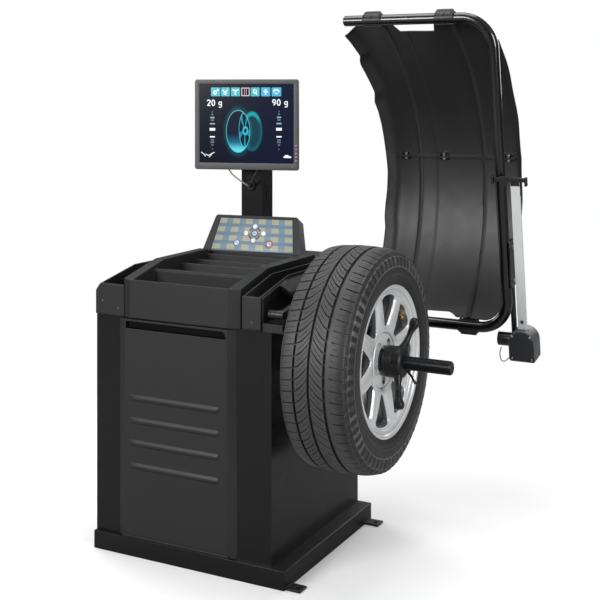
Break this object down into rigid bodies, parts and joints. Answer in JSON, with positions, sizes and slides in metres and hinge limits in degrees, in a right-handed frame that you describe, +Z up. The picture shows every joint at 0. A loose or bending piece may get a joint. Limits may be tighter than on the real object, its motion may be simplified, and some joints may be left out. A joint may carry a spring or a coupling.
{
  "type": "wheel balancer",
  "caption": "Car wheel balancer with a cabinet and weight trays, a key console, a monitor on a post, a motor spindle with a clamped wheel and a swing-down wheel hood.",
  "frame": {"origin": "centre of the underside of the plinth, on the floor", "axes": "+X towards the spindle and wheel, +Y towards the back, +Z up"},
  "size_m": [1.166, 1.0493, 1.6481],
  "materials": {
    "cabinet_black": "gloss black powder coat",
    "cover_black": "satin black",
    "moulded_black": "fine-grained moulded plastic",
    "console_grey": "fine-grained moulded plastic",
    "keypad_film": "printed film in blue-grey and beige squares",
    "key_white": "gloss",
    "key_blue": "gloss",
    "key_red": "gloss",
    "bezel_grey": "satin",
    "screen": null,
    "cable": "matte",
    "machined_steel": "turned",
    "blackened_steel": "blackened thread",
    "cast_grey": "machined casting",
    "frame_grey": "satin",
    "sensor_brass": "satin",
    "motor_grey": "satin",
    "belt_rubber": "matte",
    "board_green": "solder mask",
    "plain_aluminium": "satin",
    "inlet_black": "matte",
    "rocker_red": "gloss",
    "tyre": "matte rubber",
    "rim_silver": "silver lacquer",
    "valve_brass": "satin",
    "nut_black": "moulded",
    "hood_plastic": "pressed plastic sheet",
    "tube_black": "gloss black",
    "zinc": "zinc plated"
  },
  "bodies": {
    "cabinet": {"plinth": "cabinet_black", "cabinet_shell": "cabinet_black", "front_cover": "cover_black", "rear_cover": "cabinet_black", "tray_centre": "moulded_black", "tray_left": "moulded_black", "tray_right": "moulded_black", "console_housing": "console_grey", "keypad_panel": "keypad_film", "monitor_post": "cabinet_black", "post_grommet": "cable", "monitor_cables": "cable", "bearing_housing": "cast_grey", "spindle_bearings": "machined_steel", "support_column": "frame_grey", "force_sensors": "sensor_brass", "motor": "motor_grey", "drive_belt": "belt_rubber", "control_board": "board_green", "power_supply": "plain_aluminium", "power_inlet": "inlet_black", "hood_bracket": "tube_black", "hood_spring": "zinc"},
    "spindle": {"spindle_shaft": "machined_steel", "threaded_shaft": "blackened_steel", "wheel_flange": "cast_grey", "drive_pulley": "cast_grey", "encoder_disc": "plain_aluminium", "tyre": "tyre", "rim": "rim_silver", "valve_stem": "valve_brass", "centring_cone": "cast_grey", "cone_spring": "zinc"},
    "motor_rotor": {"motor_pulley": "machined_steel"},
    "cup": {"pressure_cup": "nut_black"},
    "nut": {"wing_nut": "nut_black"},
    "nut_lever": {"release_lever": "tube_black"},
    "gauge_slide": {"gauge_rod": "machined_steel"},
    "gauge_swing": {"gauge_arm": "nut_black"},
    "hood": {"hood_frame": "tube_black", "hood_shell_upper": "hood_plastic", "hood_shell_lower": "hood_plastic", "hood_clips": "moulded_black", "hood_bolts": "zinc", "width_gauge_mount": "tube_black", "width_gauge_box": "console_grey"},
    "width_bar": {"width_gauge_bar": "plain_aluminium"},
    "monitor_swivel": {"monitor_arm": "frame_grey"},
    "monitor": {"monitor_housing": "bezel_grey", "monitor_bezel": "bezel_grey", "monitor_screen": "screen", "monitor_buttons": "bezel_grey"},
    "rocker": {"power_rocker": "rocker_red"},
    "key_up": {"key_up": "key_white"},
    "key_down": {"key_down": "key_white"},
    "key_left": {"key_left": "key_white"},
    "key_right": {"key_right": "key_white"},
    "key_enter": {"key_enter": "key_blue"},
    "key_stop": {"key_stop": "key_blue"},
    "key_start": {"key_start": "key_red"}
  },
  "joints": [
    {"name": "spindle_turn", "type": "hinge", "parent": "cabinet", "child": "spindle", "pos_m": [0, -0.077, 0.621], "axis": [1, 0, 0], "continuous": true},
    {"name": "motor_turn", "type": "hinge", "parent": "cabinet", "child": "motor_rotor", "pos_m": [0, 0.09, 0.43], "axis": [1, 0, 0], "continuous": true},
    {"name": "nut_slide", "type": "slide", "parent": "spindle", "child": "cup", "axis": [1, 0, 0], "range_m": [0, 0.13]},
    {"name": "nut_turn", "type": "hinge", "parent": "cup", "child": "nut", "pos_m": [0.58, -0.077, 0.621], "axis": [1, 0, 0], "continuous": true},
    {"name": "release_press", "type": "hinge", "parent": "nut", "child": "nut_lever", "pos_m": [0.6098, -0.06686, 0.59925], "axis": [0, -0.9063, -0.4226], "range_deg": [0, 8]},
    {"name": "gauge_pull", "type": "slide", "parent": "cabinet", "child": "gauge_slide", "axis": [1, 0, 0], "range_m": [0, 0.025]},
    {"name": "gauge_swing", "type": "hinge", "parent": "gauge_slide", "child": "gauge_swing", "pos_m": [0.31, 0.02, 0.775], "axis": [1, 0, 0], "range_deg": [-45, 0]},
    {"name": "hood_swing", "type": "hinge", "parent": "cabinet", "child": "hood", "pos_m": [0.2, 0.47, 0.626], "axis": [1, 0, 0], "range_deg": [0, 45]},
    {"name": "width_bar_swing", "type": "hinge", "parent": "hood", "child": "width_bar", "pos_m": [0.7935, 0.44807, 0.59776], "axis": [0, -0.9848, -0.1736], "range_deg": [0, 15]},
    {"name": "monitor_swivel", "type": "hinge", "parent": "cabinet", "child": "monitor_swivel", "pos_m": [-0.062, 0.192, 1.286], "axis": [0, 0, 1], "range_deg": [-45, 25]},
    {"name": "monitor_tilt", "type": "hinge", "parent": "monitor_swivel", "child": "monitor", "pos_m": [-0.05693, 0.17266, 1.286], "axis": [0.9673, 0.2538, 0], "range_deg": [-15, 5]},
    {"name": "rocker_tip", "type": "hinge", "parent": "cabinet", "child": "rocker", "pos_m": [-0.28, 0.292, 0.165], "axis": [1, 0, 0], "range_deg": [-8, 8]},
    {"name": "key_up_press", "type": "slide", "parent": "cabinet", "child": "key_up", "axis": [-0.1278, 0.9095, -0.3955], "range_m": [0, 0.0015], "stiffness_N_per_m": 400},
    {"name": "key_down_press", "type": "slide", "parent": "cabinet", "child": "key_down", "axis": [-0.1278, 0.9095, -0.3955], "range_m": [0, 0.0015], "stiffness_N_per_m": 400},
    {"name": "key_left_press", "type": "slide", "parent": "cabinet", "child": "key_left", "axis": [-0.1278, 0.9095, -0.3955], "range_m": [0, 0.0015], "stiffness_N_per_m": 400},
    {"name": "key_right_press", "type": "slide", "parent": "cabinet", "child": "key_right", "axis": [-0.1278, 0.9095, -0.3955], "range_m": [0, 0.0015], "stiffness_N_per_m": 400},
    {"name": "key_enter_press", "type": "slide", "parent": "cabinet", "child": "key_enter", "axis": [-0.1278, 0.9095, -0.3955], "range_m": [0, 0.0015], "stiffness_N_per_m": 400},
    {"name": "key_stop_press", "type": "slide", "parent": "cabinet", "child": "key_stop", "axis": [-0.1278, 0.9095, -0.3955], "range_m": [0, 0.0015], "stiffness_N_per_m": 400},
    {"name": "key_start_press", "type": "slide", "parent": "cabinet", "child": "key_start", "axis": [-0.1278, 0.9095, -0.3955], "range_m": [0, 0.0015], "stiffness_N_per_m": 400}
  ],
  "couplings": [
    {"joint": "motor_turn", "follows": "spindle_turn", "ratio": 3.4091}
  ]
}
